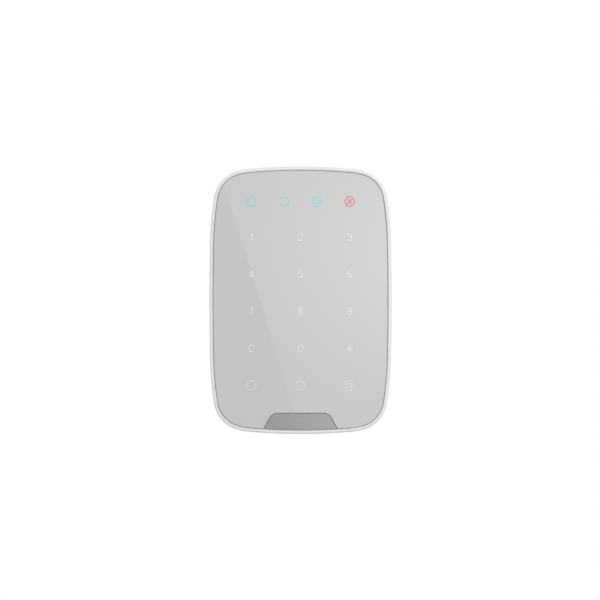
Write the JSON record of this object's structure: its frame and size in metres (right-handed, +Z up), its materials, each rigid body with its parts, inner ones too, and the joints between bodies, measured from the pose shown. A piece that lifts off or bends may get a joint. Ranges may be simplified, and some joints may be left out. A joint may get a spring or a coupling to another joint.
{
  "type": "alarm keypad panel",
  "caption": "Slim wall keypad: a flat touch front with lit key marks in a rounded white body that hooks on a screwed wall bracket and is locked by a screw from below.",
  "frame": {"origin": "middle of the bracket's wall face, on the wall's plane", "axes": "+Z up along the long side, -Y out of the wall towards the user, +X to the user's right"},
  "size_m": [0.1026, 0.014, 0.1504],
  "materials": {
    "bracket_plastic": "fine moulded texture",
    "cover_plastic": "fine moulded texture",
    "housing_plastic": "fine satin moulded finish",
    "panel_gloss": "flat polished sheet, grey-white from behind",
    "tape_foam": "black adhesive foam",
    "badge_satin": "satin silver-grey paint",
    "frame_plastic": "white reflective moulding",
    "board_laminate": "green solder mask",
    "led_body": "white resin",
    "tray_plastic": "black moulding",
    "cell_can": "printed foil sleeve over a steel can",
    "contact_steel": "nickel plate",
    "screw_steel": "zinc plate",
    "switch_plastic": "black moulding",
    "plunger_plastic": "natural white moulding",
    "button_plastic": "grey moulding",
    "stem_plastic": "black moulding",
    "sounder_plastic": "black moulding",
    "chip_resin": "black moulded resin",
    "shield_steel": "tinned sheet",
    "antenna_brass": "tinned brass strip"
  },
  "bodies": {
    "bracket": {"mounting_bracket": "bracket_plastic"},
    "keypad": {"rear_cover": "cover_plastic", "front_housing": "housing_plastic", "cover_screws": "screw_steel", "front_panel": "panel_gloss", "panel_tape": "tape_foam", "badge_plate": "badge_satin", "light_frame": "frame_plastic", "touch_board": "board_laminate", "key_leds": "led_body", "indicator_leds": "led_body", "battery_tray": "tray_plastic", "battery_cell_1": "cell_can", "battery_cell_2": "cell_can", "battery_cell_3": "cell_can", "battery_cell_4": "cell_can", "battery_link_contact": "contact_steel", "battery_plus_contact": "contact_steel", "battery_minus_contact": "contact_steel", "tamper_switch": "switch_plastic", "power_switch_body": "switch_plastic", "sounder": "sounder_plastic", "controller_chip": "chip_resin", "radio_shield": "shield_steel", "antenna_strip": "antenna_brass"},
    "lock_screw": {"lock_screw": "screw_steel"},
    "tamper_plunger": {"tamper_plunger": "plunger_plastic"},
    "power_button": {"power_button": "button_plastic", "power_switch_stem": "stem_plastic"}
  },
  "joints": [
    {"name": "keypad_lift", "type": "slide", "parent": "bracket", "child": "keypad", "axis": [0, 0, 1], "range_m": [0, 0.006]},
    {"name": "tamper_release", "type": "slide", "parent": "keypad", "child": "tamper_plunger", "axis": [0, 1, 0], "range_m": [0, 0.0007]},
    {"name": "power_press", "type": "slide", "parent": "keypad", "child": "power_button", "axis": [0, -1, 0], "range_m": [0, 0.0004], "stiffness_N_per_m": 1500},
    {"name": "lock_screw_back_out", "type": "slide", "parent": "bracket", "child": "lock_screw", "axis": [0, 0, -1], "range_m": [0, 0.0075]}
  ],
  "couplings": [
    {"joint": "tamper_release", "follows": "keypad_lift", "ratio": 0.11666}
  ]
}
